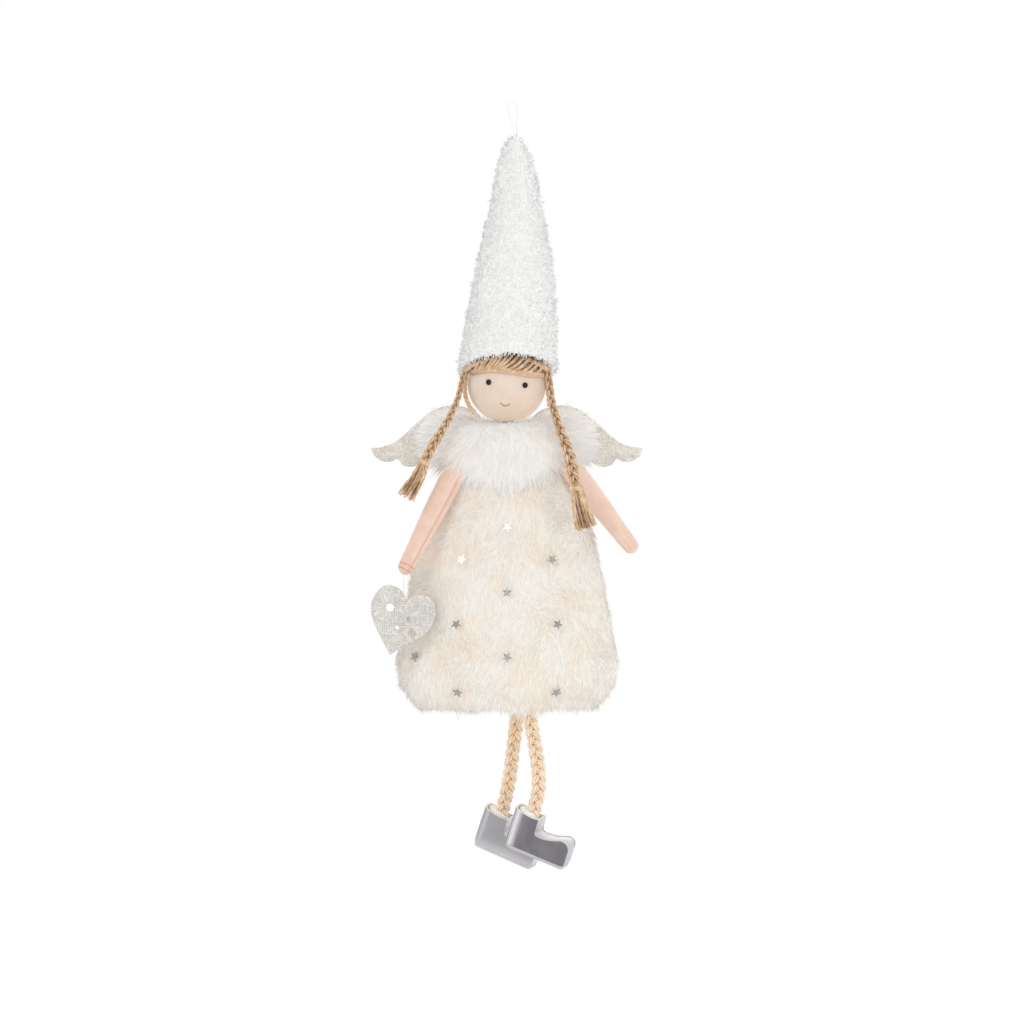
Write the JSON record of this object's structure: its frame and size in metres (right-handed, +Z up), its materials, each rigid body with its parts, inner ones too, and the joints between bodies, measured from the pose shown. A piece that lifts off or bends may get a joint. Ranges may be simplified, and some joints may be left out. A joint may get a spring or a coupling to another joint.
{
  "type": "hanging plush angel doll",
  "caption": "Plush angel ornament hung on a thread loop: tall fleece hat, yarn braids, fur collar, glitter wings, starred plush dress, heart charm, rope legs and silver boots.",
  "frame": {"origin": "top of the hanging loop, where a hook holds it", "axes": "+Z up, the doll faces -Y and +X is to the viewer's right seen from the front"},
  "size_m": [0.11, 0.0563, 0.3078],
  "materials": {
    "white_thread": "matt twisted thread",
    "hat_fleece": "nubbly fleece pile",
    "filling": "loose fibre",
    "skin_fabric": "smooth knit",
    "eye_bead": "polished",
    "mouth_thread": "matt thread",
    "hair_yarn": "twisted yarn",
    "dress_plush": "short tufted fur",
    "leg_rope": "plaited jute",
    "star_foil": "pressed foil",
    "collar_fur": "long combed fur",
    "arm_fabric": "smooth knit",
    "heart_glitter": "fine glitter",
    "white_felt": "pressed felt",
    "wing_glitter": "glitter cloth",
    "boot_leather": "metallic satin"
  },
  "bodies": {
    "loop": {"hanging_loop": "white_thread", "loop_knot": "white_thread"},
    "head": {"hat_fleece": "hat_fleece", "hat_filling": "filling", "head_skin": "skin_fabric", "head_filling": "filling", "left_eye": "eye_bead", "right_eye": "eye_bead", "mouth_stitch": "mouth_thread", "hair_fringe": "hair_yarn", "stray_yarn": "hair_yarn"},
    "torso": {"neck": "skin_fabric", "dress_front": "dress_plush", "dress_back": "dress_plush", "dress_base": "dress_plush", "left_hip_knot": "leg_rope", "right_hip_knot": "leg_rope", "body_filling": "filling", "fur_collar": "collar_fur", "wing_patch": "white_felt", "star_01": "star_foil", "star_02": "star_foil", "star_03": "star_foil", "star_04": "star_foil", "star_05": "star_foil", "star_06": "star_foil", "star_07": "star_foil", "star_08": "star_foil", "star_09": "star_foil", "star_10": "star_foil"},
    "left_braid": {"left_braid": "hair_yarn", "left_braid_tie": "hair_yarn", "left_braid_end": "hair_yarn"},
    "right_braid": {"right_braid": "hair_yarn", "right_braid_tie": "hair_yarn", "right_braid_end": "hair_yarn"},
    "left_arm": {"left_arm": "arm_fabric", "left_arm_filling": "filling"},
    "right_arm": {"right_arm": "arm_fabric", "right_arm_filling": "filling"},
    "heart": {"heart_thread": "white_thread", "heart_core": "white_felt", "heart_front": "heart_glitter", "heart_back": "heart_glitter"},
    "left_wing": {"left_wing": "wing_glitter", "left_wing_fur": "collar_fur"},
    "right_wing": {"right_wing": "wing_glitter", "right_wing_fur": "collar_fur"},
    "left_leg": {"left_leg_rope": "leg_rope"},
    "right_leg": {"right_leg_rope": "leg_rope"},
    "left_boot": {"left_boot": "boot_leather", "left_boot_sole": "boot_leather", "left_boot_filling": "filling"},
    "right_boot": {"right_boot": "boot_leather", "right_boot_sole": "boot_leather", "right_boot_filling": "filling"}
  },
  "joints": [
    {"name": "loop_swing", "type": "hinge", "parent": "loop", "child": "head", "pos_m": [0.00485, -0.0116, -0.0426], "axis": [0, 1, 0], "range_deg": [-25, 25]},
    {"name": "neck_tilt", "type": "hinge", "parent": "head", "child": "torso", "pos_m": [-0.002, 0, -0.1128], "axis": [0, 1, 0], "range_deg": [-8, 8], "stiffness_Nm_per_rad": 0.05},
    {"name": "left_braid_swing", "type": "hinge", "parent": "head", "child": "left_braid", "pos_m": [-0.0192, -0.0062, -0.1082], "axis": [0, 1, 0], "range_deg": [0, 18]},
    {"name": "right_braid_swing", "type": "hinge", "parent": "head", "child": "right_braid", "pos_m": [0.0144, -0.0064, -0.1082], "axis": [0, -1, 0], "range_deg": [0, 18]},
    {"name": "left_arm_raise", "type": "hinge", "parent": "torso", "child": "left_arm", "pos_m": [-0.01999, -0.01153, -0.14305], "axis": [0, 1, 0], "range_deg": [0, 35], "stiffness_Nm_per_rad": 0.006},
    {"name": "right_arm_raise", "type": "hinge", "parent": "torso", "child": "right_arm", "pos_m": [0.018, -0.00683, -0.13977], "axis": [0, -1, 0], "range_deg": [0, 30], "stiffness_Nm_per_rad": 0.006},
    {"name": "heart_swing", "type": "hinge", "parent": "left_arm", "child": "heart", "pos_m": [-0.0421, -0.02277, -0.18646], "axis": [0, 1, 0], "range_deg": [-20, 20]},
    {"name": "left_wing_flap", "type": "hinge", "parent": "torso", "child": "left_wing", "pos_m": [-0.008, 0.0253, -0.1352], "axis": [0, 0, -1], "range_deg": [-5, 35], "stiffness_Nm_per_rad": 0.004},
    {"name": "right_wing_flap", "type": "hinge", "parent": "torso", "child": "right_wing", "pos_m": [0.004, 0.0253, -0.1352], "axis": [0, 0, 1], "range_deg": [-5, 35], "stiffness_Nm_per_rad": 0.004},
    {"name": "left_leg_swing", "type": "hinge", "parent": "torso", "child": "left_leg", "pos_m": [0.002, 0.0043, -0.2423], "axis": [0.309, 0.9511, 0], "range_deg": [-15, 15]},
    {"name": "right_leg_swing", "type": "hinge", "parent": "torso", "child": "right_leg", "pos_m": [0.0068, -0.0043, -0.2423], "axis": [0.309, 0.9511, 0], "range_deg": [-15, 15]},
    {"name": "left_boot_swing", "type": "hinge", "parent": "left_leg", "child": "left_boot", "pos_m": [-0.006, 0.0085, -0.291], "axis": [0.3662, 0.9165, 0.161], "range_deg": [-8, 8], "stiffness_Nm_per_rad": 0.002},
    {"name": "right_boot_swing", "type": "hinge", "parent": "right_leg", "child": "right_boot", "pos_m": [0.0064, -0.0085, -0.2903], "axis": [0.3715, 0.9148, 0.1586], "range_deg": [-8, 8], "stiffness_Nm_per_rad": 0.002}
  ]
}
